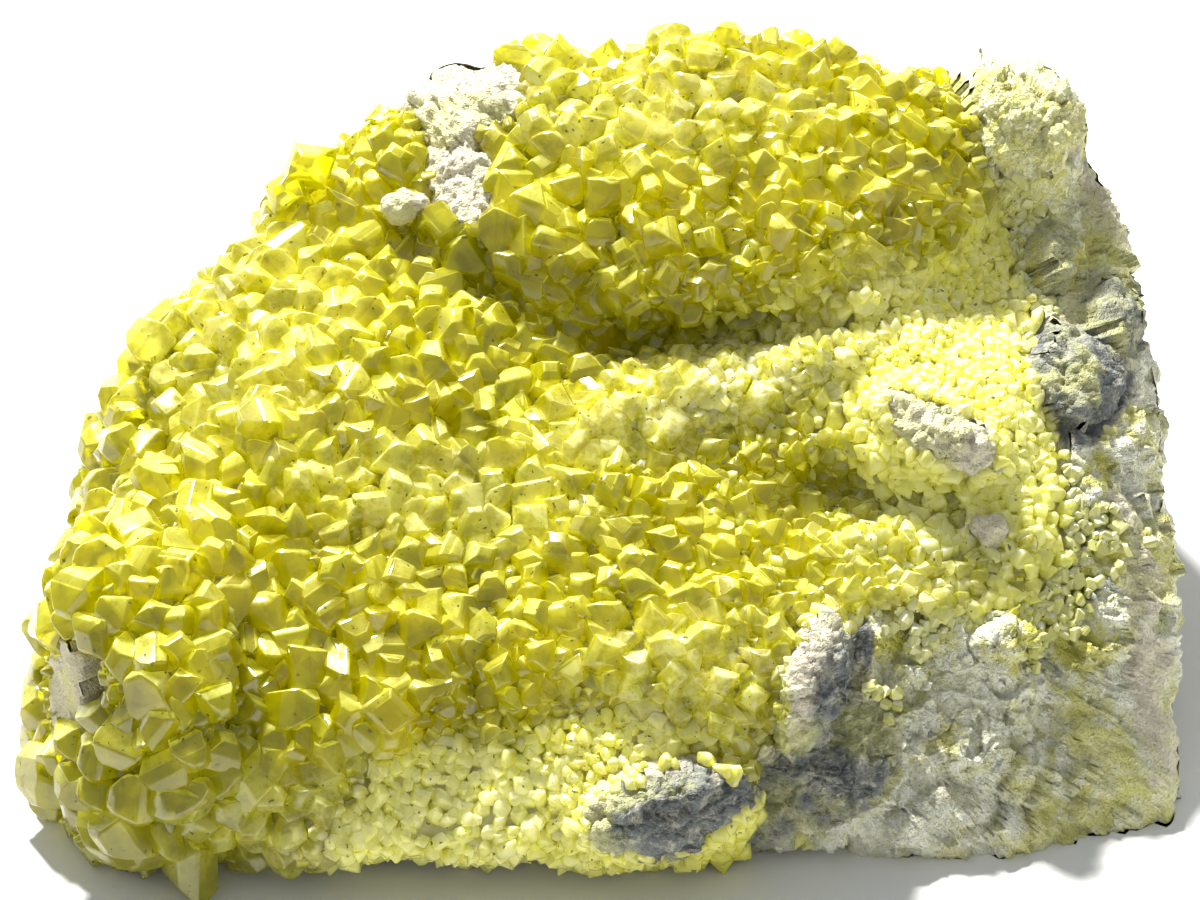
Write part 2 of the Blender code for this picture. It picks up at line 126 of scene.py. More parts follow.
# How wide the crystals are at some places of the crust.
GRAIN = {
    "left_edge": (-0.045, 0.000, 0.004),
    "upper_left": (-0.03, 0.026, 0.0038),
    "valley": (-0.016, 0.018, 0.0042),
    "middle": (-0.012, -0.002, 0.0038),
    "lower_left": (-0.042, -0.016, 0.0046),
    "front_left": (-0.044, -0.032, 0.005),
    "front_middle": (-0.025, -0.022, 0.0042),
    "lower_middle": (0.004, -0.017, 0.0036),
    "dome_left": (-0.002, 0.03, 0.0038),
    "dome_right": (0.026, 0.028, 0.0034),
    "under_dome": (0.018, 0.012, 0.0024),
    "ridge": (0.014, 0.004, 0.0026),
    "pale_mound": (0.031, 0.008, 0.0015),
    "right_edge": (0.042, 0.012, 0.0016),
    "below_ledge": (0.034, -0.008, 0.0022),
    "right_bed": (0.022, -0.009, 0.0026),
    "lower_bulge": (0.014, -0.022, 0.0028),
    "front_fine": (-0.018, -0.034, 0.0018),
    "front_finest": (0.002, -0.031, 0.0014),
}
FINE_GRAIN, COARSE_GRAIN = 0.0018, 0.0034
# Place and width.
LARGE_CRYSTALS = {
    "edge_twin": (-0.0295, 0.0285, 0.0048),
    "edge_twin_partner": (-0.0322, 0.0262, 0.0042),
    "below_top_patch": (-0.0205, 0.0285, 0.0042),
    "valley_head": (-0.013, 0.0205, 0.0046),
    "bright_prism": (-0.0182, 0.0167, 0.0038),
    "left_block": (-0.0303, 0.0067, 0.0054),
    "lower_left_cluster": (-0.041, -0.014, 0.0062),
    "lower_left_cluster_foot": (-0.0345, -0.0205, 0.0052),
    "front_corner": (-0.0455, -0.036, 0.006),
    "valley_middle": (-0.02, 0.013, 0.0046),
    "valley_right": (-0.0085, 0.0192, 0.0046),
    "dome_front": (0.0065, 0.021, 0.0044),
    "dome_corner": (0.0215, 0.018, 0.0038),
    "lower_middle_block": (0.01, -0.019, 0.0046),
    "left_rim": (-0.045, 0.0105, 0.005),
    "front_bright": (-0.028, -0.019, 0.0046),
}
# Directions of a crystal's two kinds of faces, and how far faces are from its middle, in widths.
STEEP_FACES = (1.23, 1.0, 0.525)
FLAT_FACES = (1.23, 1.0, 1.576)
FACE_DISTANCES = {"steep": (0.4, 0.5), "flat": (0.44, 0.56), "tip": (0.48, 0.62)}
BLOCKY_DISTANCES = {"steep": (0.4, 0.52), "flat": (0.38, 0.5), "tip": (0.34, 0.5)}
BURIED_DEPTH = 0.45
LIFT = (0.00, 0.28)
TILT = math.radians(40)
SPACING = 0.98
SMALLEST_CRYSTAL = 0.003
SITES_TRIED = 8000

# Where the crystals are dusted pale: centre, half sizes, how much, turn, edge (0 and 0.8 if not given).
PALE_PLACES = {
    "white_ridge": ((0.012, 0.0065), (0.022, 0.006), 0.7, 18),
    "pale_mound": ((0.031, 0.008), (0.016, 0.013), 0.6, -25),
    "right_edge": ((0.043, 0.01), (0.01, 0.02), 0.5),
    "front_fine": ((-0.012, -0.036), (0.034, 0.01), 0.5, 5),
    "lower_middle": ((0.008, -0.024), (0.016, 0.01), 0.45, 10),
    "below_ledge": ((0.034, -0.006), (0.014, 0.012), 0.35),
    "dome_top": ((0.006, 0.036), (0.02, 0.008), 0.35),
    "left_shoulder": ((-0.036, 0.012), (0.014, 0.014), 0.25, -40),
    "bright_terrace": ((-0.016, -0.004), (0.02, 0.006), 0.35, -8),
    "flank_brow": ((0.026, -0.017), (0.02, 0.006), 0.4, 20, 1.0),
}
# Where the sulfur turns a cooler, greener yellow, given in the same way.
COOL_PLACES = {
    "right_bed": ((0.036, -0.01), (0.02, 0.016), 0.8, 0, 1.2),
    "front_fine": ((-0.006, -0.036), (0.034, 0.01), 0.5, 5, 1.0),
    "front_left": ((-0.046, -0.032), (0.014, 0.014), 0.45, 0, 1.0),
    "left_rim": ((-0.044, 0.01), (0.012, 0.024), 0.3, 0, 1.0),
    "right_edge": ((0.045, 0.012), (0.01, 0.022), 0.6, 0, 1.0),
}
# Where the bare rock is dusted with sulfur powder.
PALE_ROCK = {
    "pale_step": ((0.0415, 0.032), (0.015, 0.0085), 1.0, 0, 0.5),
    "right_slope": ((0.048, 0.022), (0.009, 0.012), 0.5, 0, 1.0),
}

# Place, half sizes, and how far the middle stands off the ground.
CHIPS = {
    "matrix_chip_left": ((-0.0195, 0.0243), (0.0021, 0.0016, 0.0016), 0.0016),
    "matrix_chip_right": ((0.0387, -0.0083), (0.0018, 0.0016, 0.0014), 0.0008),
}


# ---- The same surface functions as the solids' ----
def to_face(points):
    return (points - FACE_CENTRE) @ FACE_AXES.T


def to_world(places):
    return FACE_CENTRE + places @ FACE_AXES


def mound(across, up, centre, half_sizes, height, turn=0, edge=0.8):
    cos, sin = math.cos(math.radians(turn)), math.sin(math.radians(turn))
    right, rise = across - centre[0], up - centre[1]
    along = (cos * right + sin * rise) / half_sizes[0]
    over = (cos * rise - sin * right) / half_sizes[1]
    return height * np.clip(1 - along**2 - over**2, 0, 1) ** edge


def soft_max(values, width):
    values = np.stack(values)
    top = values.max(axis=0)
    return top + width * np.log(np.exp((values - top) / width).sum(axis=0))


def waves(points, size, seed):
    draw = RandomState(seed)
    directions = draw.normal(size=(12, 3))
    directions *= draw.uniform(0.6, 1.5, (12, 1)) / norm(directions, axis=1, keepdims=True)
    phases = draw.uniform(0, 2 * math.pi, 12)
    return np.sin(points @ directions.T * (math.pi / size) + phases).sum(axis=1) / 4


def relief(across, up):
    out = BED_SLOPE * up - LEFT_BEND[1] * np.clip(LEFT_BEND[0] - across, 0, None) ** 2
    for shape in MOUNDS.values():
        out = out + mound(across, up, *shape)
    flank = FLANK_POINT[2] + FLANK_SLOPES[0] * (across - FLANK_POINT[0])
    flank = flank + FLANK_SLOPES[1] * (up - FLANK_POINT[1])
    right = BED_SLOPE * up + 0.002 + RIGHT_FALL * (across - RIGHT_EDGE)
    out = -soft_max([-out, -flank, -right], EDGE_ROUNDING / 2)
    for shape in OUTCROPS.values():
        out = out + mound(across, up, *shape)
    return out


def outside(points):
    across, up, out = to_face(points).T
    surfaces = [(out - relief(across, up)) * 0.9]
    for direction, distance in SIDES.values():
        direction = np.array(direction) / norm(direction)
        surfaces.append(points @ direction - distance)
    block = soft_max(surfaces, EDGE_ROUNDING)
    for centre, half_sizes in LUMPS.values():
        offset = (np.stack([across, up, out], axis=1) - centre) / half_sizes
        lump = (norm(offset, axis=1) - 1) * min(half_sizes)
        block = -soft_max([-block, -lump], EDGE_ROUNDING / 2)
    return block + 0.0010 * waves(points, 0.016, SEED) + 0.0005 * waves(points, 0.007, SEED + 1)


def outward(points, step=0.0004):
    slopes = [outside(points + step * axis) - outside(points - step * axis) for axis in np.eye(3)]
    slopes = np.stack(slopes, axis=1)
    return slopes / norm(slopes, axis=1, keepdims=True)


def on_face(places):
    """Points of the block's face at these places."""
    points = np.array([(*place, 0.0) for place in places])
    points[:, 2] = relief(points[:, 0], points[:, 1])
    return to_world(points)


def inside_outline(across, up):
    nearest, crossings = np.full(len(across), 1.0), np.zeros(len(across), int)
    for (x0, y0), (x1, y1) in zip(CRUST_OUTLINE, np.roll(CRUST_OUTLINE, -1, axis=0)):
        length = (x1 - x0) ** 2 + (y1 - y0) ** 2
        share = np.clip(((across - x0) * (x1 - x0) + (up - y0) * (y1 - y0)) / length, 0, 1)
        nearest = np.minimum(nearest, np.hypot(across - x0 - share * (x1 - x0), up - y0 - share * (y1 - y0)))
        if y0 != y1:
            crossings += ((up > y0) != (up > y1)) & (across < x0 + (up - y0) * (x1 - x0) / (y1 - y0))
    return np.where(crossings % 2 == 1, nearest, -nearest)


def grain(points):
    """How wide the crystals are at each point."""
    across, up, _ = to_face(points).T
    total, weights = 0.0, 0.0
    for right, rise, width in GRAIN.values():
        weight = 1 / ((across - right) ** 2 + (up - rise) ** 2 + 1e-6) ** 1.5
        total, weights = total + weight * width, weights + weight
    return total / weights


def cover(points):
    """How far each point is within the crust's edge; below 0 outside it."""
    across, up, out = to_face(points).T
    edge = inside_outline(across, up)
    for centre, half_sizes, _, turn, _ in OUTCROPS.values():
        bare = mound(across, up, centre, half_sizes, 1.0, turn, 0.5)
        edge = np.minimum(edge, (0.5 - bare) * min(half_sizes))
    return np.minimum(edge, (CRUST_WRAP - (relief(across, up) - out)) / 2)


def crust_depth(points):
    coarse = np.clip((grain(points) - FINE_GRAIN) / (COARSE_GRAIN - FINE_GRAIN), 0, 1)
    depth = FINE_DEPTH + (COARSE_DEPTH - FINE_DEPTH) * coarse
    return depth * np.clip(cover(points) / CRUST_FADE, 0, 1) ** 0.5


def rock_outside(points):
    return outside(points) + crust_depth(points)


def round_plate(box, growth):
    places = box * (PLATE_HALF + growth[:, None] * PLATE_SPREAD) + PLATE_CENTRE
    places[:, 2] += BED_SLOPE * (places[:, 1] - PLATE_CENTRE[1])
    return to_world(places)


def last_inside(near, far, inside, halvings):
    """How far the inside reaches, between distances that are in it and others that are not."""
    for _ in range(halvings):
        middle = (near + far) / 2
        within = inside(middle)
        near, far = np.where(within, middle, near), np.where(within, far, middle)
    return near


def wrap(box, shape):
    """Places on the shape's surface, one for each place on the box."""
    def inside(growth):
        places = round_plate(box, growth)
        return (shape(places) < 0) & (places[:, 2] > BOTTOM)

    near, leaving = np.zeros(len(box)), np.ones(len(box), bool)
    for growth in np.arange(1, 1 + FARTHEST / STRIDE) * STRIDE:
        leaving &= inside(np.full(len(box), growth))
        near[leaving] = growth
        if not leaving.any():
            break
    return round_plate(box, last_inside(near, near + STRIDE, inside, 12))


# ---- Roughness of natural surfaces ----
def lattice(cells, seed):
    """A random number from 0 to 1 for each whole-numbered cell."""
    x, y, z = cells.astype(np.int64).T
    mixed = (x * 374761393 + y * 668265263 + z * 2147483629 + seed * 1274126177) & 0xFFFFFFFF
    mixed = ((mixed ^ (mixed >> 13)) * 1274126177) & 0xFFFFFFFF
    return ((mixed ^ (mixed >> 16)) & 0xFFFFFF) / 0xFFFFFF


def noise(points, size, seed):
    """Smooth noise from -1 to 1 with features about this size."""
    scaled = points / size
    cell = np.floor(scaled)
    part = scaled - cell
    part = part * part * (3 - 2 * part)
    total = 0.0
    for corner in itertools.product((0, 1), repeat=3):
        share = np.prod(np.where(corner, part, 1 - part), axis=1)
        total = total + share * lattice(cell + corner, seed)
    return 2 * total - 1


def fractal(points, size, seed, octaves=4):
    return sum(noise(points, size / 2**n, seed + n) / 2**n for n in range(octaves))


def pebbles(points, size, seed):
    """Rounded bumps packed side by side: 1 at their middles, 0 in the seams, and a number for each."""
    scaled = points / size
    cell = np.floor(scaled)
    nearest, owner = np.full(len(points), 9.0), np.zeros(len(points))
    for step in itertools.product((-1, 0, 1), repeat=3):
        there = cell + step
        centre = there + np.stack([lattice(there, seed + n) for n in range(3)], axis=1)
        distance = norm(scaled - centre, axis=1)
        closer = distance < nearest
        nearest = np.where(closer, distance, nearest)
        owner = np.where(closer, lattice(there, seed + 5), owner)
    return np.clip(1 - nearest**2, 0, 1), owner


# ---- Meshes ----
def linked(name, data):
    obj = bpy.data.objects.new(name, data)
    bpy.context.scene.collection.objects.link(obj)
    return obj


def new_mesh_object(name, points, faces, attributes=None, smooth=True):
    """An object from points, a list or array of faces, and attributes with a value per point or face."""
    mesh = bpy.data.meshes.new(name)
    if isinstance(faces, np.ndarray):
        starts, corners = np.arange(len(faces)) * faces.shape[1], faces.ravel()
        sizes = np.full(len(faces), faces.shape[1])
    else:
        sizes = np.array([len(face) for face in faces])
        starts, corners = np.concatenate([[0], np.cumsum(sizes)[:-1]]), np.concatenate(faces)
    mesh.vertices.add(len(points))
    mesh.vertices.foreach_set("co", np.asarray(points, np.float32).ravel())
    mesh.loops.add(len(corners))
    mesh.loops.foreach_set("vertex_index", corners.astype(np.int32))
    mesh.polygons.add(len(sizes))
    mesh.polygons.foreach_set("loop_start", starts.astype(np.int32))
    mesh.update(calc_edges=True)
    for key, values in (attributes or {}).items():
        attribute = mesh.attributes.new(key, "FLOAT", "POINT" if len(values) == len(points) else "FACE")
        attribute.data.foreach_set("value", np.asarray(values, np.float32))
    mesh.polygons.foreach_set("use_smooth", np.full(len(sizes), smooth))
    return linked(name, mesh)


def add_to_row(obj):
    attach(obj, "root")


def box_cells(cells):
    """The corners, as whole numbers, of the square cells on all six sides of a box."""
    quads = []
    for axis in range(3):
        others = [(axis + 1) % 3, (axis + 2) % 3]
        first, second = np.meshgrid(np.arange(cells[others[0]]), np.arange(cells[others[1]]), indexing="ij")
        for end in (0, cells[axis]):
            corners = np.zeros((first.size, 4, 3), int)
            corners[:, :, axis] = end
            for column, (right, rise) in enumerate(((0, 0), (1, 0), (1, 1), (0, 1))):
                corners[:, column, others[0]] = first.ravel() + right
                corners[:, column, others[1]] = second.ravel() + rise
            quads.append(corners if end else corners[:, ::-1])
    return np.concatenate(quads)


def divided(quads, times):
    """The cells cut into times x times smaller ones: their points, in whole numbers, and their faces."""
    shares = np.arange(times + 1)
    along, over = (quads[:, 1] - quads[:, 0])[:, None, None], (quads[:, 3] - quads[:, 0])[:, None, None]
    points = quads[:, None, None, 0] * times + along * shares[:, None, None] + over * shares[None, :, None]
    number = np.arange(points[..., 0].size).reshape(points.shape[:3])
    faces = np.stack([
        number[:, :-1, :-1], number[:, 1:, :-1], number[:, 1:, 1:], number[:, :-1, 1:]], axis=-1)
    points, where = np.unique(points.reshape(-1, 3), axis=0, return_inverse=True)
    return points, where.ravel()[faces.reshape(-1, 4)]


def point_normals(points, faces):
    diagonals = np.cross(points[faces[:, 2]] - points[faces[:, 0]], points[faces[:, 3]] - points[faces[:, 1]])
    normals = np.zeros_like(points)
    for column in range(4):
        np.add.at(normals, faces[:, column], diagonals)
    return normals / np.maximum(norm(normals, axis=1, keepdims=True), 1e-12)


# ---- Host rock, and the massive sulfur that stains it ----
ROCK_CELLS = (104, 84, 24)
FACE_DETAIL, BACK_DETAIL = 4, 2
BASE_CORNERS, BASE_RINGS = 900, (1, 0.97, 0.9, 0.75, 0.5, 0.25, 0.02)
FULL_RELIEF_EDGE = 0.0007  # where the mesh has longer edges, less of the fine relief is kept
BURIED_RELIEF = 0.15  # how much of its relief the rock keeps deep under the crust
LOWEST_CELL = -0.0015
# How far under the crust and round the side the front's mesh goes, and where the back's begins.
FRONT_EDGE, BACK_EDGE = (0.00095, -0.1), (-0.0005, 0.05)
# What the rock's material reads at each point of its mesh; grey also holds the painted shade on the outcrops,
# and the material paints shade into the hollow.
ROCK_MARKS = ("massive", "grey", "smooth", "behind", "hollow", "near", "powder")
CREAM_ROCK = ("top_patch", "top_tongue", "front_knob", "leaning_ridge", "cream_ledge", "left_patch")
GREY_ROCK = ("dark_spur", "grey_tooth", "grey_block", "side_knob")
# Patches of the outcrops' lower, shaded faces, painted dark grey as shade, given like the sulfur's pale
# places.
PAINTED_SHADE_ON_OUTCROPS = (
    ((0.0078, -0.0368), (0.0125, 0.0060), 1.0, 12, 0.7),
    ((0.0225, -0.0242), (0.0042, 0.0085), 0.8, -12),
    ((0.0240, -0.0300), (0.0045, 0.0075), 0.9, -30),
)
# Patches of rock that show through the sulfur of the flank: centre, half sizes, share, turn, edge.
FLANK_CREAM = (
    ((0.048, 0.030), (0.014, 0.010), 0.9), ((0.054, -0.020), (0.004, 0.022), 0.9, 4),
    ((0.026, -0.042), (0.012, 0.004), 0.9, 8), ((0.036, -0.034), (0.008, 0.005), 0.6, 20),
    ((0.030, -0.016), (0.004, 0.008), 0.6, 10), ((0.050, 0.012), (0.006, 0.012), 0.7),
    ((0.041, -0.028), (0.010, 0.006), 0.45),
)


def places_share(across, up, places):
    share = np.zeros(len(across))
    for place in places:
        share = np.maximum(share, mound(across, up, *place))
    return share


def outcrop_share(across, up, names):
    return places_share(across, up, [
        (OUTCROPS[name][0], tuple(1.2 * half for half in OUTCROPS[name][1]), 1.0, OUTCROPS[name][3], 0.5)
        for name in names])


def shaken(points, size, amount, seed):
    return points + amount * np.stack([noise(points, size, seed + axis) for axis in range(3)], axis=1)


def shards(points, size, seed, slope):
    """A surface of flat facets of about this size, each tilted its own way."""
    scaled = points / size
    cell = np.floor(scaled)
    nearest, height = np.full(len(points), 9.0), np.zeros(len(points))
    for step in itertools.product((-1, 0, 1), repeat=3):
        there = cell + step
        random = np.stack([lattice(there, seed + n) for n in range(6)], axis=1)
        offset = scaled - there - random[:, :3]
        distance = norm(offset, axis=1)
        tilted = (offset * (2 * random[:, 3:] - 1)).sum(axis=1) + 0.5 * random[:, 3] - 0.25
        nearest, height = np.minimum(nearest, distance), np.where(distance < nearest, tilted, height)
    return height * size * slope


def rock_shares(points):
    """How far each point is massive sulfur, grey rock or painted shade, smooth nub and old rock behind the
    crust.
    """
    across, up, out = to_face(shaken(points, 0.006, 0.0028, 91)).T
    cream = outcrop_share(across, up, CREAM_ROCK)
    # grey rock, and the patches where shade is painted dark grey
    grey = np.maximum(outcrop_share(across, up, GREY_ROCK), places_share(across, up, PAINTED_SHADE_ON_OUTCROPS))
    patchy = 0.5 + 0.9 * fractal(points, 0.006, 71, 5)
    shown = np.clip(places_share(across, up, FLANK_CREAM) + 0.45 * patchy - 0.40, 0, 1)
    behind = np.clip((relief(across, up) - out - 0.004) / 0.006, 0, 1)
    rock = np.clip(np.maximum.reduce([2.2 * cream, 2.0 * grey, 1.6 * shown - 0.3, behind]), 0, 1)
    smooth = mound(across, up, (-0.0500, -0.0240), (0.0045, 0.0055), 1.0, 0, 0.5)
    return 1 - rock, grey, smooth, behind


def longest_edges(points, faces):
    """The longest edge that meets at each point."""
    longest = np.zeros(len(points))
    for step in range(4):
        start, end = faces[:, step], faces[:, (step + 1) % 4]
        length = norm(points[start] - points[end], axis=1)
        np.maximum.at(longest, start, length)
        np.maximum.at(longest, end, length)
    return longest


def rock_roughness(points, fine, kept=1.0):
    """How far the rock stands out from its smooth shape, and how deep each point sits between its lumps,
    where the material paints shade.

    The finest relief is only kept in part where the mesh is too wide for it.
    """
    sulfur, _, smooth, _ = rock_shares(points)
    blocks, step = pebbles(shaken(points, 0.006, 0.0025, 1), 0.0065, 11)
    lumps, low_step = pebbles(shaken(points, 0.0025, 0.0010, 4), 0.0022, 17)
    amount = 0.0009 * (blocks - 0.6) + kept * (0.0009 * (step - 0.5) + 0.0008 * fractal(points, 0.010, 23, 5))
    crumbly = 0.0006 * (lumps - 0.6) + 0.0005 * (low_step - 0.5)
    hollow = 0.5 * (1 - lumps) + 0.3 * (1 - blocks)
    facets = shards(points, 0.0030, 43, 0.45)
    if fine:
        grains, _ = pebbles(shaken(points, 0.0009, 0.0003, 7), 0.00065, 29)
        crumbly = crumbly + 0.00030 * (grains - 0.6) + 0.0003 * fractal(points, 0.0012, 37, 2)
        hollow = hollow + 0.3 * (1 - grains)
        facets = facets + shards(points, 0.0011, 49, 0.40)
    amount = amount + kept * ((1 - sulfur) * crumbly + (0.35 + 0.65 * sulfur) * facets)
    return amount * (1 - 0.9 * smooth), hollow


def box_places(numbers, cells):
    """Whole-numbered places on the box as shares from -1 to 1."""
    return 2 * numbers / np.array(cells) - 1


def make_rock(name, quads, detail):
    numbers, faces = divided(quads, detail)
    points = wrap(box_places(numbers, np.array(ROCK_CELLS) * detail), rock_outside)
    normals = outward(points)
    kept = np.clip(FULL_RELIEF_EDGE / longest_edges(points, faces), 0.1, 1)
    amount, hollow = rock_roughness(points, detail == FACE_DETAIL, kept)
    shares = rock_shares(points)
    bared = np.clip(1 - crust_depth(points) / 0.002, BURIED_RELIEF, 1)
    points = points + normals * (amount * bared)[:, None]
    across, up, _ = to_face(points).T
    near, powder = np.clip(1 + cover(points) / 0.012, 0, 1), places_share(across, up, PALE_ROCK.values())
    obj = new_mesh_object(name, points, faces, dict(zip(ROCK_MARKS, (*shares, hollow * kept, near, powder))))
    bm = bmesh.new()
    bm.from_mesh(obj.data)
    everything = bm.verts[:] + bm.edges[:] + bm.faces[:]
    cut = bmesh.ops.bisect_plane(
        bm, geom=everything, dist=2e-5, plane_co=(0, 0, 0), plane_no=(0, 0, -1), clear_outer=True)
    for item in cut["geom_cut"]:
        if isinstance(item, bmesh.types.BMVert):
            item.co.z = 0
    bm.to_mesh(obj.data)
    bm.free()
    return obj


def make_base():
    """The flat underside that closes the rock at the floor."""
    angles = np.linspace(0, 2 * math.pi, BASE_CORNERS, endpoint=False)
    rays = np.stack([np.cos(angles), np.sin(angles), np.zeros(len(angles))], axis=1)
    reach = last_inside(
        np.zeros(len(angles)), np.full(len(angles), 0.075),
        lambda distance: rock_outside(rays * distance[:, None]) < 0, 14)
    rim = rays * reach[:, None]
    rim = rim + outward(rim) * rock_roughness(rim, False)[0][:, None]
    rim[:, 2] = 0
    points = np.concatenate([rim * share for share in BASE_RINGS])
    here = np.arange(BASE_CORNERS)
    after = (here + 1) % BASE_CORNERS
    ring = np.stack([here, after, after + BASE_CORNERS, here + BASE_CORNERS], axis=1)[:, ::-1]
    faces = np.concatenate([ring + number * BASE_CORNERS for number in range(len(BASE_RINGS) - 1)])
    zeros = np.zeros(len(points))
    marks = dict(zip(ROCK_MARKS, (*rock_shares(points), zeros + 0.3, zeros, zeros)))
    return new_mesh_object("rock_base", points, faces, marks)


def rock_cells():
    """The box's cells that show bare rock from the front, and the others above the base.

    Both groups hold the cells along the crust's edge, so that no gap shows between them.
    """
    quads = box_cells(ROCK_CELLS)
    middles = wrap(box_places(quads.mean(axis=1), ROCK_CELLS), rock_outside)
    covered = cover(middles)
    forward = outward(middles) @ FACE_AXES[2]
    above = middles[:, 2] > LOWEST_CELL
    bare = above & (covered < FRONT_EDGE[0]) & (forward > FRONT_EDGE[1])
    only_front = bare & (covered < BACK_EDGE[0]) & (forward > BACK_EDGE[1])
    return quads[bare], quads[above & ~only_front]


# ---- Crystals ----
# Axis and end of the box's sides that crystals stand on, and the share of the crystals on each.
BOX_SIDES = ((2, 1), (0, -1), (0, 1), (1, 1), (1, -1))
SIDE_SHARES = (0.72, 0.10, 0.02, 0.08, 0.08)
LARGE_ROUNDING = 0.12  # of the width
MERGED, SMALLEST_FACET = 0.04, 0.02  # corners nearer than this are one; smaller facets look like edges
SHARP_ANGLE = math.radians(34)


def crystal_corners(draw, width, distances=FACE_DISTANCES):
    """Corners of a crystal: sulfur's steep and flat bipyramids, cut by a tip face and at its root."""
    planes = []
    for kind, direction in (("steep", STEEP_FACES), ("flat", FLAT_FACES)):
        direction = np.array(direction) / norm(direction)
        for x, y in itertools.product((1, -1), repeat=2):
            planes.append((direction * (x, y, 1), draw.uniform(*distances[kind])))
            if kind == "steep":
                planes.append((direction * (x, y, -1), draw.uniform(*distances[kind])))
    planes.append((np.array([0, 0, 1.0]), draw.uniform(*distances["tip"])))
    planes.append((np.array([0, 0, -1.0]), BURIED_DEPTH))
    directions, reach = np.array([p[0] for p in planes]), np.array([p[1] for p in planes])
    triples = np.array(list(itertools.combinations(range(len(planes)), 3)))
    crossing = np.abs(np.linalg.det(directions[triples])) > 0.02
    corners = np.linalg.solve(directions[triples[crossing]], reach[triples[crossing]][..., None])[..., 0]
    return corners[(corners @ directions.T < reach + 1e-6).all(axis=1)] * width


def axes_towards(direction, spin):
    aside = np.cross(direction, (0.31, 0.85, 0.42))
    aside /= norm(aside)
    other = np.cross(direction, aside)
    first = math.cos(spin) * aside + math.sin(spin) * other
    return np.stack([first, np.cross(direction, first), direction], axis=1)


def leaning(draw, direction, tilt, least=0):
    """Axes of a crystal that leans from this direction by up to the tilt, turned at random."""
    amount = math.tan(tilt) * draw.uniform(least, 1)
    lean = direction + amount * axes_towards(direction, draw.uniform(0, 7))[:, 0]
    return axes_towards(lean / norm(lean), draw.uniform(0, 7))


def drawn_places(draw, count, shares=SIDE_SHARES):
    """Random places on the block's surface."""
    box = draw.uniform(-1, 1, (count, 3))
    side = draw.choice(len(BOX_SIDES), count, p=shares)
    for number, (axis, end) in enumerate(BOX_SIDES):
        box[side == number, axis] = end
    return wrap(box, outside)


def faceted(corners, rounding, segments=1):
    """Points and faces of a crystal with these corners and softened edges."""
    one = bmesh.new()
    for corner in corners:
        one.verts.new(corner)
    bmesh.ops.remove_doubles(one, verts=one.verts[:], dist=MERGED * np.ptp(corners[:, 0]))
    hull = bmesh.ops.convex_hull(one, input=one.verts[:])
    loose = {v for v in hull["geom_interior"] + hull["geom_unused"] if isinstance(v, bmesh.types.BMVert)}
    bmesh.ops.delete(one, geom=list(loose), context="VERTS")
    bmesh.ops.dissolve_limit(one, angle_limit=math.radians(4), verts=one.verts[:], edges=one.edges[:])
    if rounding:
        bmesh.ops.bevel(one, geom=one.edges[:], offset=rounding, segments=segments, profile=0.5,
                        affect="EDGES", clamp_overlap=True)
    one.verts.index_update()
    points = np.array([v.co for v in one.verts])
    faces = [np.array([v.index for v in f.verts]) for f in one.faces]
    flat = np.array([f.calc_area() for f in one.faces]) > SMALLEST_FACET * np.ptp(corners[:, 0]) ** 2
    one.free()
    return points, faces, flat


def joined(crystals, seed=0):
    """Points, faces and, for each face, the crystal's own number and the facet's own number."""
    draw = RandomState(seed)
    points, faces, tints, facets, start = [], [], [], [], 0
    for crystal_points, crystal_faces, flat, tint in crystals:
        points.append(crystal_points)
        faces.extend(face + start for face in crystal_faces)
        tints.append(np.full(len(crystal_faces), tint))
        facets.append(np.where(flat, draw.uniform(0, 1, len(flat)), 0.5))
        start += len(crystal_points)
    return np.concatenate(points), faces, {"tint": np.concatenate(tints), "facet": np.concatenate(facets)}


def scatter(draw, taken, taken_widths, size_of, wanted_of, tried, spacing,
            spread=(0.75, 1.15), shares=SIDE_SHARES):
    """Places and widths of further crystals that keep clear of the ones there are."""
    places = drawn_places(draw, tried, shares)
    sizes = size_of(places) * draw.uniform(*spread, tried)
    wanted = wanted_of(places, sizes)
    places, sizes = places[wanted], sizes[wanted]
    sites = np.concatenate([taken, np.zeros_like(places)])
    widths = np.concatenate([taken_widths, np.zeros(len(places))])
    count = len(taken)
    for place, size in zip(places, sizes):
        apart = norm(sites[:count] - place, axis=1)
        if (apart > spacing * (widths[:count] + size) / 2).all():
            sites[count], widths[count] = place, size
            count += 1
    return sites[len(taken):count], widths[len(taken):count]


def on_large_crust(places, sizes):
    return (cover(places) > 0.25 * sizes) & (sizes > SMALLEST_CRYSTAL) & (places[:, 2] > 0.6 * sizes)


def large_crystals():
    """The crystals that the solids have too, with rounded edges: the named ones, then the others."""
    draw = RandomState(SEED)
    named = np.array(list(LARGE_CRYSTALS.values()))
    sites, widths = on_face(named[:, :2]), named[:, 2]
    others, other_widths = scatter(
        draw, sites, widths, grain, on_large_crust, SITES_TRIED, SPACING, spread=(0.82, 1.18))
    sites, widths = np.concatenate([sites, others]), np.concatenate([widths, other_widths])
    tints = RandomState(SEED + 1).uniform(0, 1, len(sites))
    crystals = []
    for site, direction, width, tint in zip(sites, outward(sites), widths, tints):
        turn = leaning(draw, direction, TILT, 0.2)
        centre = site + direction * width * draw.uniform(*LIFT)
        points, faces, flat = faceted(crystal_corners(draw, width), LARGE_ROUNDING * width, 2)
        crystals.append((points @ turn.T + centre, faces, flat, tint))
    return crystals, sites, widths


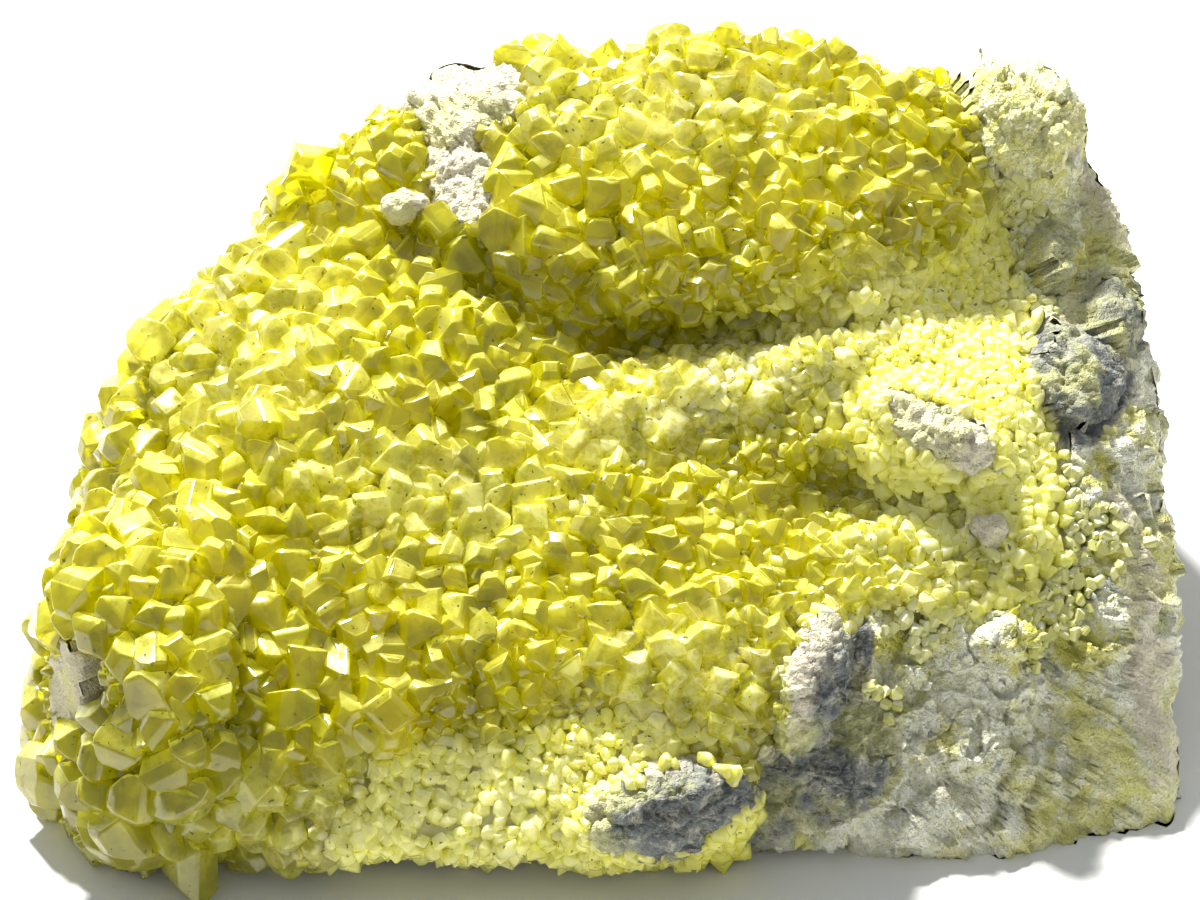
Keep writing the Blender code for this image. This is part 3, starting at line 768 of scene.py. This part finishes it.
def grown(sites, widths, shapes, tilt, lift, seed):
    """Crystals at these sites, each a turned and stretched copy of one of the shapes."""
    draw = RandomState(seed)
    crystals = []
    for site, direction, width in zip(sites, outward(sites), widths):
        turn = leaning(draw, direction, math.radians(tilt))
        points, faces, flat = shapes[draw.randint(len(shapes))]
        points = points * width * draw.uniform(0.8, 1.2, 3)
        centre = site + direction * width * draw.uniform(*lift)
        crystals.append((points @ turn.T + centre, faces, flat, draw.uniform()))
    return crystals


def blocky_shapes(count, seed, rounding):
    draw = RandomState(seed)
    return [faceted(crystal_corners(draw, 1.0, BLOCKY_DISTANCES), rounding) for _ in range(count)]


def united(name, crystals):
    """One closed mesh of the crystals, grown into each other."""
    centres = np.array([crystal[0].mean(axis=0) for crystal in crystals])
    reaches = np.array([norm(c[0] - centre, axis=1).max() for c, centre in zip(crystals, centres)])
    layers = []  # crystals of one layer don't touch each other
    for number in range(len(crystals)):
        for layer in layers:
            apart = norm(centres[layer] - centres[number], axis=1)
            if (apart > reaches[layer] + reaches[number]).all():
                layer.append(number)
                break
        else:
            layers.append([number])
    whole = None
    for layer in layers:
        obj = new_mesh_object(name, *joined([crystals[number] for number in layer], len(layer)))
        if whole is None:
            whole = obj
            continue
        modifier = whole.modifiers.new("union", "BOOLEAN")
        modifier.operation, modifier.solver, modifier.object = "UNION", "MANIFOLD", obj
        apply_modifiers(whole)
        bpy.data.objects.remove(obj)
    whole.data.polygons.foreach_set("use_smooth", np.ones(len(whole.data.polygons), bool))
    whole.data.set_sharp_from_angle(angle=SHARP_ANGLE)
    modifier = whole.modifiers.new("flat_faces", "WEIGHTED_NORMAL")
    modifier.keep_sharp = True
    apply_modifiers(whole)
    return whole


def apply_modifiers(obj):
    shape = obj.evaluated_get(bpy.context.evaluated_depsgraph_get())
    old, mesh = obj.data, bpy.data.meshes.new_from_object(shape)
    obj.modifiers.clear()
    obj.data = mesh
    mesh.materials.clear()
    bpy.data.meshes.remove(old)


def add_places(obj):
    """How pale with fine powder and how cool each point is, by where on the face it lies."""
    points = np.empty(len(obj.data.vertices) * 3, np.float32)
    obj.data.vertices.foreach_get("co", points)
    across, up, _ = to_face(points.reshape(-1, 3).astype(float)).T
    for name, places in (("pale", PALE_PLACES), ("cool", COOL_PLACES)):
        attribute = obj.data.attributes.new(name, "FLOAT", "POINT")
        attribute.data.foreach_set("value", places_share(across, up, places.values()).astype(np.float32))


# ---- The ground of the crust, between its crystals ----
GROUND_CELLS = (180, 150, 36)
GROUND_REACH, GROUND_FLOOR = -0.0008, 0.0002  # how far past the crust's edge it goes, and how low


def make_ground():
    numbers, faces = divided(box_cells(GROUND_CELLS), 1)
    points = wrap(box_places(numbers, GROUND_CELLS), outside)
    normals = point_normals(points, faces)
    lumps, _ = pebbles(points, 0.0014, 31)
    covered = cover(points)
    sunk = 0.20 * np.clip(grain(points) - 0.0012, 0, None) + 0.8 * np.clip(0.0014 - covered, 0, 0.0026)
    points = points + normals * (0.0004 * lumps - sunk)[:, None]
    kept = (covered[faces] > GROUND_REACH).all(axis=1) & (points[faces][:, :, 2] > GROUND_FLOOR).all(axis=1)
    used, renumbered = np.unique(faces[kept], return_inverse=True)
    return new_mesh_object("crust_ground", points[used], renumbered.reshape(-1, 4), {"tint": lumps[used]})


# ---- Materials ----
def colour(red, green, blue):
    """A colour given in screen values from 0 to 255, as the linear one the shaders use."""
    screen = np.array([red, green, blue]) / 255
    return tuple(np.where(screen <= 0.04045, screen / 12.92, ((screen + 0.055) / 1.055) ** 2.4))


class Nodes:
    """The nodes of a material or a world, made and linked by short calls."""

    def __init__(self, owner, shader="Principled BSDF"):
        self.owner = owner
        owner.use_nodes = True
        self.tree = owner.node_tree
        self.shader = self.tree.nodes[shader]

    def add(self, kind, inputs=None, **settings):
        node = self.tree.nodes.new(kind)
        for key, value in settings.items():
            setattr(node, key, value)
        for key, value in (inputs or {}).items():
            self.set(node.inputs[key], value)
        return node

    def set(self, socket, value):
        """Link or set a socket. Three numbers for a colour are screen values, four are linear."""
        if isinstance(value, bpy.types.NodeSocket):
            self.tree.links.new(value, socket)
        elif socket.type == "RGBA" and len(value) == 3:
            socket.default_value = (*colour(*value), 1)
        else:
            socket.default_value = value

    def mark(self, name):
        return self.add("ShaderNodeAttribute", attribute_name=name).outputs["Fac"]

    def place(self, output="Position"):
        node = self.tree.nodes.get("place") or self.add("ShaderNodeNewGeometry", name="place")
        return node.outputs[output]

    def noise(self, scale, detail=4, roughness=0.5, place=None):
        node = self.add("ShaderNodeTexNoise", {
            "Vector": place or self.place(), "Scale": scale, "Detail": detail, "Roughness": roughness})
        return node.outputs["Fac"]

    def remap(self, value, low, high, to_low=0.0, to_high=1.0, way="LINEAR"):
        node = self.add("ShaderNodeMapRange", {
            "Value": value, "From Min": low, "From Max": high, "To Min": to_low, "To Max": to_high},
            interpolation_type=way)
        return node.outputs["Result"]

    def math(self, operation, *values):
        node = self.add("ShaderNodeMath", operation=operation)
        for socket, value in zip(node.inputs, values):
            self.set(socket, value)
        return node.outputs["Value"]

    def times(self, first, second):
        return self.math("MULTIPLY", first, second)

    def surface(self, name, value):
        self.set(self.shader.inputs[name], value)

    def mix(self, share, first, second):
        node = self.add("ShaderNodeMix", data_type="RGBA")
        for key, value in ((0, share), (6, first), (7, second)):
            self.set(node.inputs[key], value)
        return node.outputs[2]

    def bump(self, height, strength, distance, normal=None):
        node = self.add("ShaderNodeBump", {"Height": height, "Strength": strength, "Distance": distance})
        if normal:
            self.set(node.inputs["Normal"], normal)
        return node.outputs["Normal"]


POWDER = (244, 241, 204)
SULFUR_IOR = 1.65
SOFT_REACH, SOFT_SCALE = (1.0, 1.0, 0.08), 0.0025  # red and green light go far in, blue hardly at all
REFLECTION_AND_FROST_SIDE = (-0.10, 0.45, 0.89)  # faces turned this way, up and back, are the dull frosted ones and carry a painted pale reflection of the bright sky behind


def sulfur_material(name, deep, bright, pale, cool, clear, reflection_and_frost_amount, soft):
    """Resinous translucent sulfur, frosted on some faces, with a pale reflection of the sky painted on the
    faces turned up and back, and powder in places.
    """
    n = Nodes(bpy.data.materials.new(name))
    fines = n.noise(420, 3, 0.7)
    # Painted light: random lighter and darker patches that stand in for light refracted inside the crystals.
    refraction_cells = n.add("ShaderNodeTexVoronoi", {"Scale": 680, "Vector": n.place()})
    painted_refraction = n.add("ShaderNodeSeparateColor", {"Color": refraction_cells.outputs["Color"]}).outputs["Red"]
    lightness = n.math("ADD", n.times(n.mark("tint"), 0.35), n.times(n.mark("facet"), 0.30))
    lightness = n.math("ADD", lightness, n.times(painted_refraction, 0.45))
    body = n.mix(lightness, deep, bright)
    body = n.mix(n.times(n.mark("cool"), 0.8), body, cool)
    turned = n.add("ShaderNodeVectorMath", {0: n.place("Normal"), 1: REFLECTION_AND_FROST_SIDE}, operation="DOT_PRODUCT")
    # Painted reflection and frost: faces turned up and back get the pale colour as if reflecting the bright
    # sky, some facets more than others.
    reflection_and_frost = n.remap(turned.outputs["Value"], 0.48, 0.78)
    reflection_and_frost = n.times(reflection_and_frost, n.remap(n.mark("facet"), 0.15, 0.55, 0.25, 1.0))
    reflection_and_frost = n.times(reflection_and_frost, n.remap(fines, 0.34, 0.58, 0.35, 1.0))
    reflection_and_frost = n.times(reflection_and_frost, reflection_and_frost_amount)
    powder = n.times(n.remap(fines, 0.42, 0.56, 0.35, 1.0), n.mark("pale"))
    specks = n.remap(n.noise(1700, 1), 0.72, 0.74)
    # The body with the painted pale reflection and frost, then the powder over it.
    with_reflection_and_powder = n.mix(n.times(powder, 0.85), n.mix(reflection_and_frost, body, pale), POWDER)
    frost_reflection_and_powder = n.math("MAXIMUM", reflection_and_frost, powder)
    shown = n.mix(n.times(specks, 0.8), with_reflection_and_powder, (70, 60, 10))
    n.surface("Base Color", shown)
    polish = n.remap(fines, 0.35, 0.65, 0.03, 0.12)
    n.surface("Roughness", n.math("ADD", polish, n.times(frost_reflection_and_powder, 0.15)))
    n.surface("IOR", SULFUR_IOR)
    n.surface("Specular IOR Level", 0.45)
    if clear:
        n.surface("Transmission Weight", n.times(n.math("SUBTRACT", 1.0, frost_reflection_and_powder), clear))
    n.shader.subsurface_method = "BURLEY"
    n.surface("Subsurface Weight", soft)
    n.surface("Subsurface Radius", SOFT_REACH)
    n.surface("Subsurface Scale", SOFT_SCALE)
    n.surface("Normal", n.bump(n.noise(420, 2, 0.6), 0.35, 0.00022))
    return n.owner


def rock_material():
    """Crumbly cream and grey rock, soaked on the flank with fine-grained glinting sulfur, with shade painted
    onto patches of the outcrops and into the hollows.
    """
    n = Nodes(bpy.data.materials.new("matrix_and_massive_sulfur"))
    mottle, fine, grit = n.noise(130, 4, 0.62), n.noise(600, 4, 0.7), n.noise(1700, 3, 0.75)
    cream = n.mix(n.remap(mottle, 0.35, 0.65), (240, 233, 212), (218, 209, 182))
    cream = n.mix(n.times(n.mark("smooth"), 0.7), cream, (196, 186, 148))
    grey = n.mix(n.remap(mottle, 0.3, 0.7), (164, 168, 162), (94, 100, 102))
    # Painted shade: the grey also covers the outcrops' shaded lower faces.
    grey_rock_and_painted_shade = n.times(n.remap(n.mark("grey"), 0.0, 0.5), n.remap(fine, 0.25, 0.50))
    grey_rock_and_painted_shade = n.math("MAXIMUM", grey_rock_and_painted_shade, n.remap(mottle, 0.62, 0.72, 0.0, 0.35))
    rock = n.mix(grey_rock_and_painted_shade, cream, grey)
    bands = n.add("ShaderNodeMapping", {
        "Vector": n.place(), "Rotation": (0, 0, math.radians(-40)), "Scale": (1, 4, 3)}).outputs["Vector"]
    banding = n.noise(240, 4, 0.75, bands)
    specks = n.times(n.remap(banding, 0.55, 0.63), n.remap(n.mark("grey"), 0.1, 0.5))
    rock = n.mix(n.times(specks, 0.85), rock, (46, 50, 48))
    tinge = n.times(
        n.remap(mottle, 0.52, 0.40), n.math("SUBTRACT", 0.55, n.times(n.mark("behind"), 0.45)))
    rock = n.mix(tinge, rock, (214, 212, 120))
    wide = n.noise(75, 4, 0.6)
    cool = n.mix(n.remap(wide, 0.35, 0.65), (212, 208, 116), (236, 234, 172))
    warm = n.mix(n.remap(wide, 0.35, 0.65), (216, 210, 44), (236, 232, 100))
    soaked = n.mix(n.mark("near"), cool, warm)
    # Painted shade: the soaked sulfur turns a deeper, darker yellow in the hollows between lumps.
    soaked = n.mix(n.remap(n.mark("hollow"), 0.2, 0.9, 0.0, 0.6), soaked, (170, 166, 20))
    frosted = n.mix(n.remap(grit, 0.35, 0.65), (228, 228, 192), (252, 252, 240))
    frost = n.math("ADD", n.remap(fine, 0.42, 0.60, 0.0, 0.35), n.remap(wide, 0.45, 0.55, -0.10, 0.75))
    soaked = n.mix(frost, soaked, frosted)
    massive = n.remap(n.math("ADD", n.mark("massive"), n.remap(fine, 0.3, 0.7, -0.25, 0.25)), 0.35, 0.65)
    body = n.mix(massive, rock, soaked)
    powder = n.times(n.mark("powder"), n.remap(mottle, 0.66, 0.56))
    body = n.mix(powder, body, n.mix(n.remap(fine, 0.35, 0.65), (232, 228, 110), (250, 248, 200)))
    # Painted shade: darker olive in the hollows between lumps.
    body = n.mix(n.times(n.remap(n.mark("hollow"), 0.35, 0.9), 0.25), body, (130, 126, 60))
    old_side = n.mix(n.remap(wide, 0.40, 0.60), (156, 146, 120), (112, 108, 94))
    body = n.mix(n.times(n.mark("behind"), n.remap(fine, 0.30, 0.60, 0.9, 0.55)), body, old_side)
    n.surface("Base Color", body)
    rough = n.remap(fine, 0.3, 0.7, 0.75, 0.98)
    glossy = n.remap(grit, 0.35, 0.6, 0.16, 0.6)
    n.surface("Roughness", n.add(
        "ShaderNodeMix", {0: massive, 2: rough, 3: glossy}, data_type="FLOAT").outputs[0])
    n.surface("IOR", 1.6)
    grains = n.bump(grit, 0.9, 0.0006)
    n.surface("Normal", n.bump(fine, 0.7, 0.0014, grains))
    return n.owner


def floor_material():
    n = Nodes(bpy.data.materials.new("floor_paper"))
    n.surface("Base Color", n.mix(n.noise(40, 3), (0.80, 0.80, 0.79, 1), (0.83, 0.83, 0.82, 1)))
    n.surface("Roughness", 0.85)
    return n.owner


# ---- Build ----
SMALLEST_FILL, LARGEST_DRUSE, FLANK_GRAIN = 0.0019, 0.0020, 0.0013
PART_LINE = -0.012  # crystals left of this line on the face are one piece, the others another
GAP_GRAIN = 0.0027  # where the grain is wider, the smallest crystals look like the coarse ones


def fill_size(points):
    """The second crystals' widths: smaller again where the grain is fine."""
    width = grain(points)
    return width * np.clip(1.05 - (0.0036 - width) / 0.005, 0.75, 1.05)


def on_coarse_crust(places, sizes):
    return (cover(places) > 0.1 * sizes) & (sizes > SMALLEST_FILL) & (places[:, 2] > 0.5 * sizes)


def druse_size(points):
    return np.minimum(0.90 * grain(points), LARGEST_DRUSE)


def on_fine_crust(places, sizes):
    ragged = 0.0010 * fractal(places, 0.0030, 77, 3)
    return (cover(places) + ragged > -0.0003) & (places[:, 2] > 0.5 * sizes)


def flank_size(points):
    return np.full(len(points), FLANK_GRAIN)


def on_flank(places, sizes):
    sulfur, _, _, behind = rock_shares(places)
    patchy = 0.6 + fractal(places, 0.0045, 79, 3) + cover(places) / 0.007
    return (cover(places) < 0.0002) & (sulfur - behind > 0.6) & (places[:, 2] > sizes) & (patchy > 0)


def picked(crystals, chosen):
    return [crystal for crystal, one in zip(crystals, chosen) if one]


def finish_sulfur(obj, material):
    add_places(obj)
    obj.data.materials.append(material)
    add_to_row(obj)


front_cells, back_cells = rock_cells()
stone = rock_material()
front_rock = make_rock("rock_front", front_cells, FACE_DETAIL)
back_rock = make_rock("rock_back", back_cells, BACK_DETAIL)
for obj in (front_rock, back_rock, make_base()):
    obj.data.materials.append(stone)
    add_to_row(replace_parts(obj, "matrix_rock"))

# The deep, bright, pale and cool colours, the pale one being that of the frost and the painted sky
# reflection; how clear, how much frosted and painted with that reflection, and how soft inside.
SULFUR = {
    "coarse_sulfur": ((198, 186, 0), (252, 250, 12), (224, 222, 140), (210, 206, 64), 0.8, 0.8, 1.0),
    "sulfur_druse": ((192, 186, 26), (224, 220, 78), (232, 230, 186), (206, 206, 112), 0.0, 0.9, 0.6),
    "flank_grains": ((186, 184, 88), (216, 214, 136), (240, 240, 222), (200, 202, 130), 0.0, 1.0, 0.0),
    "crust_ground": ((196, 180, 0), (232, 218, 0), (234, 230, 170), (210, 212, 96), 0.0, 0.3, 0.3),
}
coarse_sulfur, fine_sulfur, flank_sulfur, ground_sulfur = [
    sulfur_material(name, *look) for name, look in SULFUR.items()]

ground = make_ground()
add_places(ground)
ground.data.materials.append(ground_sulfur)
add_to_row(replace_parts(ground, "sulfur_crust"))

large, sites, widths = large_crystals()
fill_sites, fill_widths = scatter(
    RandomState(41), sites, widths, fill_size, on_coarse_crust, tried=16000, spacing=0.50)
fill_shapes = blocky_shapes(40, seed=5, rounding=0.12)
coarse = large + grown(fill_sites, fill_widths, fill_shapes, tilt=70, lift=(-0.05, 0.28), seed=42)
leftness = np.array([to_face(crystal[0].mean(axis=0)[None])[0, 0] for crystal in coarse])
for name, chosen in (("left", leftness < PART_LINE), ("right", leftness >= PART_LINE)):
    finish_sulfur(united("crystals_" + name, picked(coarse, chosen)), coarse_sulfur)

fine_sites, fine_widths = scatter(
    RandomState(51), np.concatenate([sites, fill_sites]), np.concatenate([widths, fill_widths]),
    druse_size, on_fine_crust, tried=90000, spacing=0.55)
fine_shapes = blocky_shapes(30, seed=6, rounding=0.06)
fine_crystals = grown(fine_sites, fine_widths, fine_shapes, tilt=80, lift=(-0.18, 0.14), seed=52)
coarse_place = grain(fine_sites) > GAP_GRAIN
for name, chosen, material in (
        ("gap_crystals", coarse_place, coarse_sulfur), ("druse_crystals", ~coarse_place, fine_sulfur)):
    finish_sulfur(new_mesh_object(name, *joined(picked(fine_crystals, chosen))), material)

flank_sites, flank_widths = scatter(
    RandomState(71), fine_sites, fine_widths, flank_size, on_flank, tried=30000, spacing=0.50,
    shares=(0.40, 0.0, 0.25, 0.0, 0.35))
flank_shapes = blocky_shapes(20, seed=8, rounding=0)
flank = grown(flank_sites, flank_widths, flank_shapes, tilt=85, lift=(-0.32, 0.0), seed=72)
finish_sulfur(new_mesh_object("flank_grains", *joined(flank), smooth=False), flank_sulfur)

for name, (place, half_sizes, lift) in CHIPS.items():
    spot = on_face([place])
    direction = outward(spot)[0]
    turn = axes_towards(direction, 0.4)
    ball = bmesh.new()
    bmesh.ops.create_icosphere(ball, subdivisions=5, radius=1)
    ball.verts.index_update()
    points = np.array([v.co for v in ball.verts])
    triangles = np.array([[v.index for v in f.verts] for f in ball.faces])
    ball.free()
    points *= 1 + 0.22 * waves(points, 1.1, SEED + len(name))[:, None]
    normals = points / norm(points, axis=1, keepdims=True)
    points = (points * half_sizes) @ turn.T + spot[0] + direction * lift
    lumps, _ = pebbles(points, 0.0011, 61)
    points += (normals @ turn.T) * (0.00035 * (lumps - 0.6) + 0.0002 * fractal(points, 0.001, 62, 3))[:, None]
    # The chip's hollows between its lumps get the rock's painted shade.
    marks = {**dict.fromkeys(ROCK_MARKS, np.zeros(len(points))), "hollow": 0.5 - 0.5 * lumps}
    chip = new_mesh_object(name + "_stone", points, triangles, marks)
    chip.data.materials.append(stone)
    add_to_row(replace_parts(chip, name))

# ---- Floor, lights and camera ----
FLOOR_CORNERS = [(-2, -2, 0), (2, -2, 0), (-2, 2, 0), (2, 2, 0)]
floor = new_mesh_object("floor", FLOOR_CORNERS, np.array([[0, 1, 3, 2]]), smooth=False)
floor.data.materials.append(floor_material())

CAMERA_DISTANCE = 0.45
FRAME_WIDTH = 0.120  # what the camera's frame takes in at the face
TOWARDS_CAMERA = Vector((0, -math.cos(FACE_LEAN), math.sin(FACE_LEAN)))
camera_data = bpy.data.cameras.new("camera")
camera_data.sensor_width = 36
camera_data.lens = 36 * CAMERA_DISTANCE / FRAME_WIDTH
camera_data.clip_start = 0.01
camera = linked("camera", camera_data)
camera.location = Vector(FACE_CENTRE) + TOWARDS_CAMERA * CAMERA_DISTANCE
camera.rotation_euler = (-TOWARDS_CAMERA).to_track_quat("-Z", "Y").to_euler()
bpy.context.scene.camera = camera


KEY_PLACE, KEY_TARGET = Vector((-0.25, 0.52, 0.80)), Vector((0, 0, 0.02))
key_data = bpy.data.lights.new("key", "AREA")
key_data.shape, key_data.size, key_data.energy, key_data.color = "DISK", 0.10, 26, (1.0, 0.985, 0.94)
key = linked("key", key_data)
key.location = KEY_PLACE
key.rotation_euler = (KEY_TARGET - KEY_PLACE).to_track_quat("-Z", "Y").to_euler()


def studio_world():
    """Soft light all round, brightest low behind the specimen."""
    n = Nodes(bpy.data.worlds.new("studio"), "Background")
    sky = n.add("ShaderNodeSeparateXYZ", {0: n.add("ShaderNodeTexCoord").outputs["Generated"]}).outputs
    backward = n.remap(sky["Y"], 0.0, 0.6, way="SMOOTHSTEP")
    low = n.remap(sky["Z"], 0.85, 0.45, way="SMOOTHSTEP")
    n.surface("Color", (0.95, 0.98, 1.0, 1))
    n.surface("Strength", n.remap(n.times(backward, low), 0, 1, 0.45, 0.95, way="SMOOTHSTEP"))
    return n.owner


bpy.context.scene.world = studio_world()
bpy.context.scene.view_settings.view_transform = "Standard"
